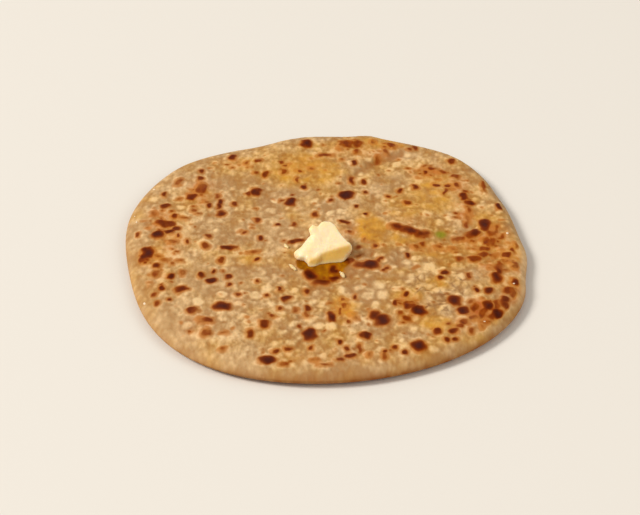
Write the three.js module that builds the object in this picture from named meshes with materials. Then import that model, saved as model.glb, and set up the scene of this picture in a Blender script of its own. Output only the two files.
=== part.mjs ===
// A stuffed griddle flatbread with a knob of butter on top.
// Millimetres, +Z up. The origin is under the middle of the bread, at its underside.

import * as THREE from 'three'
import { mergeVertices } from 'three/addons/utils/BufferGeometryUtils.js'

// ---- The bread's driving dimensions ----

const MEAN_RADIUS = 97.5
const THICKNESS = 7.2 // underside to top, away from the lumps
const EDGE_HEIGHT = 3.2 // height of the outermost line of the rim
const EDGE_ROUND = 3.4 // how far in the rounding of the rim reaches
const SHOULDER_WIDTH = 10 // how far in the top begins to fall
const SHOULDER_DROP = 2.3 // how far it has fallen at the rim
const UNDER_WIDTH = 13 // how far in the underside begins to lift
const UNDER_LIFT = 0.9 // how far it has lifted at the rim

// The rolled outline: waves round the edge, as lobes, height, and heading of a crest in degrees.
const OUTLINE_WAVES = [
  { lobes: 2, height: 1.0, crest: 89 },
  { lobes: 3, height: 0.6, crest: 49 },
  { lobes: 4, height: 2.9, crest: 56 },
  { lobes: 6, height: 0.5, crest: 39 }
]

// Bulges and dents that the fingers left: heading in degrees, how far out, and half their spread.
const EDGE_DENTS = [
  { heading: 28, out: -0.8, spread: 4 },
  { heading: 48, out: 0.9, spread: 6 },
  { heading: 64, out: -0.9, spread: 7 },
  { heading: 77, out: 1.8, spread: 3 },
  { heading: 97, out: 1.3, spread: 6 },
  { heading: 112, out: -1.8, spread: 6 },
  { heading: 135, out: 1.3, spread: 6 },
  { heading: 155, out: -0.9, spread: 8 },
  { heading: 346, out: -1.1, spread: 4 },
  { heading: 358, out: 0.9, spread: 4 }
]

// The shoulder is wider at the left and front than at the right and back.
const SHOULDER_LEAN = 2.5 // how much wider or narrower it gets
const SHOULDER_HEADING = 215 // where it is widest, degrees

// The rim rises and falls a little on its way round.
const RIM_WAVES = [
  { lobes: 3, height: 0.3, crest: 20 },
  { lobes: 7, height: 0.22, crest: 11 }
]

// Broad waves of the top: wavelength, height and heading in degrees.
const TOP_WAVES = [
  { length: 92, height: 0.3, heading: 25 },
  { length: 61, height: 0.25, heading: 100 },
  { length: 47, height: 0.2, heading: 158 }
]

// Lumps of stuffing that show through the dough: least and greatest half width, least and greatest height.
const LUMPS = { count: 170, within: 88, spread: [2.2, 4.4], height: [0.15, 0.75], jitter: 5, seed: 20 }

// A shallow bowed crease across the back, and the low fold that stands beside it. Both fade at their ends.
const CREASE = { from: { x: 9, y: 51 }, to: { x: 43, y: 79 }, depth: 0.9, spread: 2.2, bow: 3 }
const FOLD = { beside: 4.2, height: 0.55, spread: 2.6 }
const CREASE_FULL = 0.7 // share of its length at full depth
const CREASE_FADE = 0.12 // share over which each end fades

// The size of the facets.
const TOP_RINGS = 24 // ring n has 6 n corners
const RIM_STEPS = [9.2, 7, 5.1, 3.5, 2.2, 1.1, 0.3, 0] // distances in from the edge, top side
const UNDER_STEPS = [0.6, 1.8, 4, 8, 13] // and on the way back in, underneath
const FLAT_TOP_INSET = 11.6 // where the rings of the top end

// ---- The butter's driving dimensions ----

const BUTTER_CENTRE = { x: -0.5, y: -8.5, up: 4.5 } // up is above the bread
const BUTTER_GAP = 0.3
const BUTTER_SHARPNESS = 16 // how crisp the edges between its faces are
const BUTTER_DETAIL = 6

// Each face is a cut: the way that it looks, as heading and lift in degrees, and how far out it lies.
const BUTTER_CUTS = [
  { name: 'broad top', heading: 272, lift: 67, out: 4.6 },
  { name: 'left slope', heading: 205, lift: 50, out: 6.4 },
  { name: 'front', heading: 292, lift: 24, out: 8.9 },
  { name: 'front left', heading: 236, lift: 12, out: 12.2 },
  { name: 'left end', heading: 182, lift: 5, out: 13.8 },
  { name: 'right end', heading: 345, lift: 10, out: 13.0 },
  { name: 'back right', heading: 30, lift: 22, out: 10.8 },
  { name: 'back', heading: 82, lift: 10, out: 10.6 },
  { name: 'back left', heading: 138, lift: 24, out: 8.2 },
  { name: 'underside', heading: 0, lift: -90, out: 4.2 }
]

// ---- Small helpers ----

const FULL_TURN = 2 * Math.PI
const radians = THREE.MathUtils.degToRad
const clamp = THREE.MathUtils.clamp
const lerp = THREE.MathUtils.lerp
const bell = (distance, spread) => Math.exp(-0.5 * (distance / spread) ** 2)

// The same draws every time: a linear congruential generator that stays within exact numbers.
function seededDraws(seed) {
  const MODULUS = 2 ** 32
  let state = seed
  return () => {
    state = (state * 1664525 + 1013904223) % MODULUS
    return state / MODULUS
  }
}

function waveSum(waves, heading) {
  return waves.reduce((sum, w) => sum + w.height * Math.cos(w.lobes * (heading - radians(w.crest))), 0)
}

// ---- The outline ----

function outlineRadius(heading) {
  let radius = MEAN_RADIUS + waveSum(OUTLINE_WAVES, heading)
  for (const dent of EDGE_DENTS) {
    const turned = THREE.MathUtils.euclideanModulo(heading - radians(dent.heading) + Math.PI, FULL_TURN)
    radius += dent.out * bell(turned - Math.PI, radians(dent.spread))
  }
  return radius
}

// The middle of the outline's box. The bread is shifted so that this lands on the origin.
function outlineMiddle() {
  const samples = 720
  const box = new THREE.Box2()
  for (let i = 0; i < samples; i++) {
    const heading = (i / samples) * FULL_TURN
    const r = outlineRadius(heading)
    box.expandByPoint(new THREE.Vector2(r * Math.cos(heading), r * Math.sin(heading)))
  }
  return box.getCenter(new THREE.Vector2())
}

const MIDDLE = outlineMiddle()

// ---- The relief of the top ----

// Lumps lie on a sunflower spiral, each moved a little, so that they are even but not in rows.
function scatterLumps() {
  const GOLDEN_ANGLE = Math.PI * (3 - Math.sqrt(5))
  const draw = seededDraws(LUMPS.seed)
  const lumps = []
  for (let i = 0; i < LUMPS.count; i++) {
    const r = LUMPS.within * Math.sqrt((i + 0.5) / LUMPS.count)
    const heading = i * GOLDEN_ANGLE
    lumps.push({
      x: r * Math.cos(heading) + LUMPS.jitter * (draw() - 0.5),
      y: r * Math.sin(heading) + LUMPS.jitter * (draw() - 0.5),
      spread: lerp(...LUMPS.spread, draw()),
      height: lerp(...LUMPS.height, draw())
    })
  }
  return lumps
}

const lumps = scatterLumps()

function creaseRelief(x, y) {
  const along = new THREE.Vector2().subVectors(CREASE.to, CREASE.from)
  const length = along.length()
  along.normalize()
  const offset = new THREE.Vector2(x, y).sub(CREASE.from)
  const way = offset.dot(along) / length
  const aside = along.cross(offset) - CREASE.bow * Math.sin(Math.PI * clamp(way, 0, 1))
  const past = Math.max(0, Math.abs(way - 0.5) - CREASE_FULL / 2)
  const fold = FOLD.height * bell(aside - FOLD.beside, FOLD.spread)
  const valley = CREASE.depth * bell(aside, CREASE.spread)
  return bell(past, CREASE_FADE) * (fold - valley)
}

function topRelief(x, y) {
  let height = creaseRelief(x, y)
  for (const wave of TOP_WAVES) {
    const along = x * Math.cos(radians(wave.heading)) + y * Math.sin(radians(wave.heading))
    height += wave.height * Math.sin((FULL_TURN * along) / wave.length)
  }
  for (const lump of lumps) {
    height += lump.height * bell(Math.hypot(x - lump.x, y - lump.y), lump.spread)
  }
  return height
}

// ---- The bread's section ----

// inset is the distance in from the edge. The rim is a quarter of a round on each side of it.
const roundOff = inset => Math.sqrt(1 - (1 - clamp(inset / EDGE_ROUND, 0, 1)) ** 2)

function edgeHeight(heading) {
  return EDGE_HEIGHT + waveSum(RIM_WAVES, heading)
}

function topHeight(heading, inset, x, y) {
  const width = SHOULDER_WIDTH + SHOULDER_LEAN * Math.cos(heading - radians(SHOULDER_HEADING))
  const fall = SHOULDER_DROP * (1 - clamp(inset / width, 0, 1)) ** 2
  const relief = topRelief(x, y) * clamp(inset / width, 0, 1)
  const edge = edgeHeight(heading)
  return edge + (THICKNESS - fall + relief - edge) * roundOff(inset)
}

function underHeight(heading, inset) {
  const lift = UNDER_LIFT * (1 - clamp(inset / UNDER_WIDTH, 0, 1)) ** 2
  const edge = edgeHeight(heading)
  return edge - (edge - lift) * roundOff(inset)
}

// Height of the bread's top at a point that is well inside its rim.
function topAt(x, y) {
  const heading = Math.atan2(y, x)
  return topHeight(heading, outlineRadius(heading) - Math.hypot(x, y), x, y)
}

// ---- The bread ----

function breadGeometry() {
  const points = []
  const faces = []

  function addRing(count, insetAt, heightAt) {
    const first = points.length / 3
    for (let i = 0; i < count; i++) {
      const heading = (i / count) * FULL_TURN
      const edge = outlineRadius(heading)
      const inset = insetAt(edge)
      const x = (edge - inset) * Math.cos(heading)
      const y = (edge - inset) * Math.sin(heading)
      points.push(x - MIDDLE.x, y - MIDDLE.y, heightAt(heading, inset, x, y))
    }
    return first
  }

  function joinRings(inner, outer, count) {
    for (let i = 0; i < count; i++) {
      const next = (i + 1) % count
      faces.push(inner + i, outer + i, outer + next)
      faces.push(inner + i, outer + next, inner + next)
    }
  }

  // The top: rings that gain six corners each, from one point in the middle.
  const rings = [addRing(1, edge => edge, topHeight)]
  for (let ring = 1; ring <= TOP_RINGS; ring++) {
    const insetAt = edge => edge - (ring / TOP_RINGS) * (edge - FLAT_TOP_INSET)
    rings.push(addRing(6 * ring, insetAt, topHeight))
  }
  for (let ring = 1; ring <= TOP_RINGS; ring++) {
    for (let sixth = 0; sixth < 6; sixth++) {
      const outer = step => rings[ring] + ((sixth * ring + step) % (6 * ring))
      const inner = step => rings[ring - 1] + (ring > 1 ? (sixth * (ring - 1) + step) % (6 * (ring - 1)) : 0)
      for (let step = 0; step < ring; step++) {
        faces.push(inner(step), outer(step), outer(step + 1))
        if (step < ring - 1) faces.push(inner(step), outer(step + 1), inner(step + 1))
      }
    }
  }

  // The rim, over the edge and back in underneath.
  const round = 6 * TOP_RINGS
  let last = rings[TOP_RINGS]
  for (const inset of RIM_STEPS) {
    const next = addRing(round, () => inset, topHeight)
    joinRings(last, next, round)
    last = next
  }
  for (const inset of UNDER_STEPS) {
    const next = addRing(round, () => inset, underHeight)
    joinRings(last, next, round)
    last = next
  }

  // The flat underside: one large triangle in the middle, and each side's arc halved until it is filled.
  const corner = i => last + (i % round)
  function fillArc(start, end) {
    if (end - start < 2) return
    const halfway = Math.round((start + end) / 2)
    faces.push(corner(end), corner(halfway), corner(start))
    fillArc(start, halfway)
    fillArc(halfway, end)
  }
  const third = round / 3
  faces.push(corner(2 * third), corner(third), corner(0))
  for (let side = 0; side < 3; side++) fillArc(side * third, (side + 1) * third)

  const geometry = new THREE.BufferGeometry()
  geometry.setAttribute('position', new THREE.Float32BufferAttribute(points, 3))
  geometry.setIndex(faces)
  geometry.computeVertexNormals()
  return geometry
}

// ---- The butter ----

const butterFaces = BUTTER_CUTS.map(cut => {
  const level = Math.cos(radians(cut.lift))
  const heading = radians(cut.heading)
  const normal = new THREE.Vector3(level * Math.cos(heading), level * Math.sin(heading), Math.sin(radians(cut.lift)))
  return { normal, out: cut.out }
})

// A soft meeting of all the faces, along one direction from the middle of the knob.
function butterReach(direction) {
  const sum = butterFaces.reduce(
    (total, face) => total + (Math.max(0, direction.dot(face.normal)) / face.out) ** BUTTER_SHARPNESS,
    0
  )
  return sum ** (-1 / BUTTER_SHARPNESS)
}

function butterGeometry() {
  const geometry = new THREE.IcosahedronGeometry(1, BUTTER_DETAIL)
  geometry.deleteAttribute('normal')
  geometry.deleteAttribute('uv')
  const merged = mergeVertices(geometry)
  const place = merged.attributes.position
  const direction = new THREE.Vector3()
  for (let i = 0; i < place.count; i++) {
    direction.fromBufferAttribute(place, i).normalize()
    const reach = butterReach(direction)
    const x = BUTTER_CENTRE.x + reach * direction.x
    const y = BUTTER_CENTRE.y + reach * direction.y
    const z = THICKNESS + BUTTER_CENTRE.up + reach * direction.z
    place.setXYZ(i, x - MIDDLE.x, y - MIDDLE.y, Math.max(z, topAt(x, y) + BUTTER_GAP))
  }
  merged.computeVertexNormals()
  return merged
}

// ---- The whole ----

function namedMesh(name, geometry, color, roughness) {
  const mesh = new THREE.Mesh(geometry, new THREE.MeshStandardMaterial({ color, roughness, metalness: 0 }))
  mesh.name = name
  return mesh
}

const flatbread = new THREE.Group()
flatbread.add(namedMesh('paratha', breadGeometry(), '#c89f70', 0.6))
flatbread.add(namedMesh('butter', butterGeometry(), '#fbeab4', 0.4))

export default flatbread
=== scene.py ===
"""A stuffed paratha with a melting knob of butter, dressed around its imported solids.

Metres and +Z up in Blender. The bread's own rules are in millimetres, measured from where the dough
was rolled out. Its mesh is then shifted so that the middle of its outline is on the origin.
"""

import math

import bmesh
import bpy
import numpy as np
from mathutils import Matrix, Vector, noise


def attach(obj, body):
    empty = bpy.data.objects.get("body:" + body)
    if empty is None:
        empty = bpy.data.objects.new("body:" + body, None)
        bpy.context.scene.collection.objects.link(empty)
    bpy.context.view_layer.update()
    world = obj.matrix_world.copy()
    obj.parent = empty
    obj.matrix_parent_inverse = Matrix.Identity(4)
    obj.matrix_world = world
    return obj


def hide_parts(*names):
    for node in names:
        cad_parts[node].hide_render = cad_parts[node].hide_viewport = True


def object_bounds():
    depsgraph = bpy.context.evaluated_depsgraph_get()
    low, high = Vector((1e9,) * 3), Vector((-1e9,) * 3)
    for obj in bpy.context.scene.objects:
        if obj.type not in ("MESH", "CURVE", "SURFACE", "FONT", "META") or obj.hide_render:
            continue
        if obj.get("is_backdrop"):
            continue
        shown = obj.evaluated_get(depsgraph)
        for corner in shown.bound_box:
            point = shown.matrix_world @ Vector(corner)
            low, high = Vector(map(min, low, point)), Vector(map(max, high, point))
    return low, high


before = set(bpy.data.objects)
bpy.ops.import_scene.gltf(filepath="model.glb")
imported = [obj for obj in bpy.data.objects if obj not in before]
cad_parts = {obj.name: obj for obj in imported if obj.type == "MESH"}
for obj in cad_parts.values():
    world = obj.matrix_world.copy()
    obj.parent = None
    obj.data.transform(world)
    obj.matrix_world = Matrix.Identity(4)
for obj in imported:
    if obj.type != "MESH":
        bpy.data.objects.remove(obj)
cad_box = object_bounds()

MM = 0.001
FULL_TURN = 2 * math.pi
GOLDEN_ANGLE = math.pi * (3 - math.sqrt(5))

# ---- Helpers ----


def linear(hex_colour):
    """A colour given as sRGB hex, as the linear RGBA that Blender's sockets take."""
    shares = [int(hex_colour[i : i + 2], 16) / 255 for i in (1, 3, 5)]
    return [s / 12.92 if s <= 0.04045 else ((s + 0.055) / 1.055) ** 2.4 for s in shares] + [1.0]


def node(tree, kind, values=(), out=0, stops=(), **settings):
    """Adds a node with its settings and links, and returns one of its outputs.
    The values fill its inputs in order, or by name. Hex colours are turned to linear."""
    new = tree.nodes.new(kind)
    for name, value in settings.items():
        setattr(new, name, value)
    shown = [socket for socket in new.inputs if socket.enabled]
    named = values if isinstance(values, dict) else dict(enumerate(values))
    for key, value in named.items():
        socket = new.inputs[key] if isinstance(key, str) else shown[key]
        if isinstance(value, bpy.types.NodeSocket):
            tree.links.new(value, socket)
        else:
            socket.default_value = linear(value) if str(value).startswith("#") else value
    for place, _ in stops[2:]:
        new.color_ramp.elements.new(place)
    for stop, (place, colour) in enumerate(stops):
        new.color_ramp.elements[stop].position = place
        new.color_ramp.elements[stop].color = linear(colour)
    results = [socket for socket in new.outputs if socket.enabled]
    return new.outputs[out] if isinstance(out, str) else results[out] if results else None


def calc(tree, values, operation, clamp=False):
    """The result of a Math node."""
    return node(tree, "ShaderNodeMath", values, operation=operation, use_clamp=clamp)


def add_up(tree, total, *parts):
    """The total with each part added to it, times the part's weight."""
    for value, weight in parts:
        total = calc(tree, (value, weight, total), "MULTIPLY_ADD")
    return total


def place_object(name, data):
    """Puts a mesh, a light or the camera into the scene."""
    placed = bpy.data.objects.new(name, data)
    bpy.context.scene.collection.objects.link(placed)
    return placed


def seeded_draws(seed):
    """The same draws every time, by the generator that places the lumps in the bread's solid."""
    state = seed
    while True:
        state = (state * 1664525 + 1013904223) % 2**32
        yield state / 2**32


def lerp(low, high, share):
    return low + (high - low) * share


def bell(distance, spread):
    return np.exp(-0.5 * (distance / spread) ** 2)


def smoothstep(low, high, value):
    share = np.clip((value - low) / (high - low), 0, 1)
    return share * share * (3 - 2 * share)


def wobble(x, y, size, seed):
    """Smooth uneven values from about -1 to 1, whose waves are about as long as size."""
    draw = seeded_draws(seed)
    total = np.zeros_like(x)
    for _ in range(6):
        heading = FULL_TURN * next(draw)
        wavelength = size * lerp(0.7, 1.6, next(draw))
        along = x * math.cos(heading) + y * math.sin(heading)
        total += np.sin(FULL_TURN * (along / wavelength + next(draw)))
    return total / 3


def sunflower(count, within, jitter, draw):
    """Even but unruly places: a sunflower spiral, each place moved a little."""
    for i in range(count):
        radius = within * math.sqrt((i + 0.5) / count)
        heading = i * GOLDEN_ANGLE
        x = radius * math.cos(heading) + jitter * (next(draw) - 0.5)
        yield x, radius * math.sin(heading) + jitter * (next(draw) - 0.5)


# ---- The camera ----

CAMERA_LIFT = 36.5  # degrees above level, looking along +Y
CAMERA_DISTANCE = 900 * MM
CAMERA_TARGET = Vector((-2.28, -7.35, 4.0)) * MM
CAMERA_LENS = 107.6  # millimetres, on a 36 mm sensor


def place_camera():
    data = bpy.data.cameras.new("camera")
    data.lens = CAMERA_LENS
    data.sensor_width = 36
    data.clip_start = 0.01
    camera = place_object("camera", data)
    lift = math.radians(CAMERA_LIFT)
    back = Vector((0, -math.cos(lift), math.sin(lift)))
    camera.location = CAMERA_TARGET + back * CAMERA_DISTANCE
    camera.rotation_euler = back.to_track_quat("Z", "Y").to_euler()
    bpy.context.scene.camera = camera


# ---- The bread's form, by the same rules as its solid ----

MEAN_RADIUS = 97.5
THICKNESS = 7.2
EDGE_HEIGHT = 3.2
EDGE_ROUND = 3.4
SHOULDER_WIDTH = 10
SHOULDER_DROP = 2.3
SHOULDER_LEAN = 2.5
SHOULDER_HEADING = 215
UNDER_WIDTH = 13
UNDER_LIFT = 0.9
OUTLINE_WAVES = ((2, 1.0, 89), (3, 0.6, 49), (4, 2.9, 56), (6, 0.5, 39))  # lobes, height, crest in degrees
RIM_WAVES = ((3, 0.3, 20), (7, 0.22, 11))
EDGE_DENTS = (  # heading in degrees, how far out, half spread in degrees
    (28, -0.8, 4), (48, 0.9, 6), (64, -0.9, 7), (77, 1.8, 3), (97, 1.3, 6),
    (112, -1.8, 6), (135, 1.3, 6), (155, -0.9, 8), (346, -1.1, 4), (358, 0.9, 4),
)
TOP_WAVES = ((92, 0.3, 25), (61, 0.25, 100), (47, 0.2, 158))  # wavelength, height, heading
LUMP_COUNT = 170
LUMPS_WITHIN = 88
LUMP_SPREAD = (2.2, 4.4)
LUMP_HEIGHT = (0.15, 0.75)
LUMP_JITTER = 5
LUMP_SEED = 20
CREASE_FROM = (9, 51)
CREASE_TO = (43, 79)
CREASE_DEPTH = 0.9
CREASE_SPREAD = 2.2
CREASE_BOW = 3
CREASE_FULL = 0.7
CREASE_FADE = 0.12
FOLD_BESIDE = 4.2
FOLD_HEIGHT = 0.55
FOLD_SPREAD = 2.6


def wave_sum(waves, heading):
    return sum(height * np.cos(lobes * (heading - math.radians(crest))) for lobes, height, crest in waves)


def outline_radius(heading):
    radius = MEAN_RADIUS + wave_sum(OUTLINE_WAVES, heading)
    for dent, out, spread in EDGE_DENTS:
        turned = (heading - math.radians(dent) + math.pi) % FULL_TURN - math.pi
        radius = radius + out * bell(turned, math.radians(spread))
    return radius


def outline_middle():
    heading = np.arange(720) / 720 * FULL_TURN
    radius = outline_radius(heading)
    x, y = radius * np.cos(heading), radius * np.sin(heading)
    return (x.min() + x.max()) / 2, (y.min() + y.max()) / 2


MIDDLE = outline_middle()


def scatter_lumps():
    draw = seeded_draws(LUMP_SEED)
    lumps = []
    for x, y in sunflower(LUMP_COUNT, LUMPS_WITHIN, LUMP_JITTER, draw):
        spread = lerp(*LUMP_SPREAD, next(draw))
        lumps.append((x, y, spread, lerp(*LUMP_HEIGHT, next(draw))))
    return lumps


LUMPS = scatter_lumps()


def crease_lines(x, y):
    """How far a point lies beside the crease, and how much of the crease is there."""
    along = np.subtract(CREASE_TO, CREASE_FROM)
    length = np.hypot(*along)
    along = along / length
    away_x, away_y = x - CREASE_FROM[0], y - CREASE_FROM[1]
    way = (away_x * along[0] + away_y * along[1]) / length
    bow = CREASE_BOW * np.sin(math.pi * np.clip(way, 0, 1))
    aside = along[0] * away_y - along[1] * away_x - bow
    past = np.maximum(0, np.abs(way - 0.5) - CREASE_FULL / 2)
    return aside, bell(past, CREASE_FADE)


def top_relief(x, y):
    aside, share = crease_lines(x, y)
    fold = FOLD_HEIGHT * bell(aside - FOLD_BESIDE, FOLD_SPREAD)
    height = share * (fold - CREASE_DEPTH * bell(aside, CREASE_SPREAD))
    for wavelength, rise, heading in TOP_WAVES:
        along = x * math.cos(math.radians(heading)) + y * math.sin(math.radians(heading))
        height = height + rise * np.sin(FULL_TURN * along / wavelength)
    for lump_x, lump_y, spread, rise in LUMPS:
        height = height + rise * bell(np.hypot(x - lump_x, y - lump_y), spread)
    return height


def round_off(inset):
    return np.sqrt(1 - (1 - np.clip(inset / EDGE_ROUND, 0, 1)) ** 2)


def edge_height(heading):
    return EDGE_HEIGHT + wave_sum(RIM_WAVES, heading)


def shoulder_share(heading, inset):
    """From 0 at the edge to 1 where the top no longer falls."""
    width = SHOULDER_WIDTH + SHOULDER_LEAN * np.cos(heading - math.radians(SHOULDER_HEADING))
    return np.clip(inset / width, 0, 1)


def top_height(heading, inset, x, y):
    share = shoulder_share(heading, inset)
    edge = edge_height(heading)
    full = THICKNESS - SHOULDER_DROP * (1 - share) ** 2 + top_relief(x, y) * share
    return edge + (full - edge) * round_off(inset)


def under_height(heading, inset):
    lift = UNDER_LIFT * (1 - np.clip(inset / UNDER_WIDTH, 0, 1)) ** 2
    edge = edge_height(heading)
    return edge - (edge - lift) * round_off(inset)


def top_at(x, y):
    heading = np.arctan2(y, x)
    return top_height(heading, outline_radius(heading) - np.hypot(x, y), x, y)


# ---- Where the griddle marked the bread ----
# Each row: x, y, how wide (x) and how deep (y) before it is turned, and the turn in degrees if any.

CHARRED = (
    (-9.6, 86, 5.6, 7.4), (-34.4, 43.4, 5.4, 6.6), (10.2, 39.6, 8, 6.4), (-17, 34.6, 5.4, 6.6),
    (-50.2, 24.2, 4.5, 4.5), (-51.7, 30.7, 2.5, 3.5), (-51, 34.5, 2.5, 4), (44.2, 47.7, 3.5, 3.2),
    (-79.5, 6.4, 6.5, 5, 25), (-83.4, -8, 6.4, 9), (-78.5, -18.2, 4.6, 3.6),
    (-71.5, -26.2, 3.8, 3.4), (-52.5, -29.2, 5, 4), (-66, -36, 7, 4.2, 25), (-46.7, -49, 8.5, 6, -8),
    (21.2, -17, 8.2, 6.4, -12), (-7, -25.4, 5, 8, 25), (2.6, -56, 3.8, 7), (22, -55.2, 4.6, 6.4),
    (25.4, -58.6, 7.4, 7), (-7, -68.2, 5.8, 8.3), (-25.7, -85.8, 8, 5), (40.9, -76.4, 7, 7.4, 20),
    (42, -52, 7, 6.4), (58.5, -45, 6.4, 7.4), (61.9, -52, 5.2, 5), (74.5, -36.8, 4, 3.8),
    (73.3, -48, 5, 6.8), (78, -53.6, 6, 6), (76.3, 15, 6, 9), (79, -27, 5, 8),
    (87.4, -29.6, 4.6, 5.4),
)
DARK = (
    (-46.6, 73.6, 4, 4), (-61.7, 61.5, 2.4, 3), (-61.9, 54.5, 2.8, 3), (-79, 41, 2.6, 3.4),
    (-76.4, 15.4, 9, 5.4), (-74.5, 8.8, 6, 2.4, 20), (-37.6, 41.6, 3, 2.4), (-27.5, -62, 4.6, 5.4),
    (17.5, -69, 5.4, 4.6, -25), (-65.4, 39, 5, 6.2), (-77.5, 30.5, 5, 3.4, 20), (-44.5, 33, 2.8, 2.6),
    (-56.2, 31.2, 2, 3.5), (-72.5, 22.2, 3.6, 3.2), (-71, 11.5, 4, 3.2), (-70, 5, 2, 3),
    (-65.2, 0.5, 1.8, 2.4), (-89.7, 7.7, 2.4, 3.2), (-56.6, -2.6, 4, 4.4, 35), (-32.7, 19.2, 3.2, 3.4, 30),
    (-29.7, 58, 3, 4.5), (13, 53.5, 3, 5.5), (19, 52, 2.5, 3.2), (-10.2, 47, 3.2, 2.6), (19.5, 42.5, 2, 2),
    (30.7, 39.2, 2, 2), (36.7, 44.7, 2.2, 2.8), (2.5, 35, 2.6, 2), (14.5, 67.5, 3, 2.8),
    (63.5, 70, 3.6, 3.8), (49.7, 60.7, 2, 2.8), (39.7, 33.5, 3.5, 3.6), (84.2, 30.7, 3, 4.4),
    (67.7, 38.7, 4, 5.5), (70.2, 33.5, 5, 3), (-5, 23, 3.5, 4), (-23.2, 15, 3, 2.2),
    (15, 29.2, 2, 1.8), (19.5, 23.7, 2.2, 1.8), (23.5, -2.2, 2, 2), (24.7, -14.2, 3, 2.4),
    (27.2, -21.2, 2.2, 1.8), (-49, -14, 2.7, 2.4), (-51.7, -22, 1.8, 2.4), (-57.5, -25, 3, 3),
    (-45, -26, 2.8, 3), (-44.2, -32, 2.4, 2.5), (-31.5, -29.3, 2, 1.8), (-74.7, -35.2, 2.6, 2.4),
    (-71.2, -43.5, 2.6, 1.8), (-40, -40, 3, 2), (-27, -40.5, 2.6, 2), (-21.2, -35.7, 1.8, 2.5),
    (-8.7, -37.2, 2.2, 3), (-17.7, -42.5, 5, 3, 25), (13.2, -41.7, 1.8, 2.5), (-20.7, -50.2, 2.6, 2.2),
    (-8, -50, 3, 3.4), (31.5, -46.5, 2.2, 2.8), (54.8, 49.2, 4.4, 2.4, -15), (60.5, 48.2, 3, 2.4),
    (65, 49, 3.4, 3.4), (6.2, -73.5, 2.4, 2.8), (9.2, -78, 3, 2.6), (-6.5, -77.5, 1.8, 2.2),
    (-16.7, -78.7, 3.8, 2.6), (-22.2, -80.2, 3.2, 2), (11, -83, 4.6, 2.6, 8), (26, -80, 2.6, 2),
    (30.5, -77, 2.6, 2), (34.7, -80.5, 2.8, 2), (-33.7, -68.5, 3, 4.6), (36.5, -39.7, 2.2, 2.5),
    (38.5, -9.7, 2.2, 2.6), (55.2, -23, 4, 3, -25), (52.7, -27.2, 3.2, 2, -15), (66, -26, 2.7, 4.3),
    (69, -37, 2.2, 2.6), (49.7, -66.7, 3.6, 3), (57.2, -66.5, 4.6, 3, 12), (53.7, -72.2, 2.6, 2),
    (57.2, -71.5, 3, 2), (90.7, -21.7, 2.2, 2),
    (34.4, 12.4, 6, 2.4, -22), (41.5, 8.8, 9, 3.6, -24), (47, 7, 7, 2.6, 6), (-45.5, -3.4, 8.4, 3, 2),
    (81.5, -43, 4.4, 4.2), (82, -48, 3.6, 5), (-30.8, 4.6, 2.2, 2.8), (-38.6, 9, 2.4, 2.4),
    (-60.6, -52, 4.6, 5, 35), (38.4, -49.4, 5.4, 4), (-14, 1.4, 8, 2.4, 12), (-48.6, -12.4, 2.6, 2.6),
    (-32, -12.6, 2.2, 2), (25.6, -13, 3, 2.2, 10), (28.4, -20, 3, 2, 10), (69.5, -12.2, 6.5, 4.6, 12),
    (71, 8, 5, 3, 35), (84.6, -9, 4.5, 4.6), (-53, -59, 4.6, 3, -5), (11.5, -13.8, 4.6, 3.4, 20),
    (4.7, -22.5, 2.4, 2.2), (-2.5, -30.3, 8, 2.4, -6), (9.2, 16.6, 5, 2.2, -14), (17, -17.2, 8.4, 4.4, -8),
    (4.5, -27.5, 5, 2.2, 15), (3.5, -21, 3, 4.5), (80, -22, 2.4, 5, 10),
)
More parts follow.
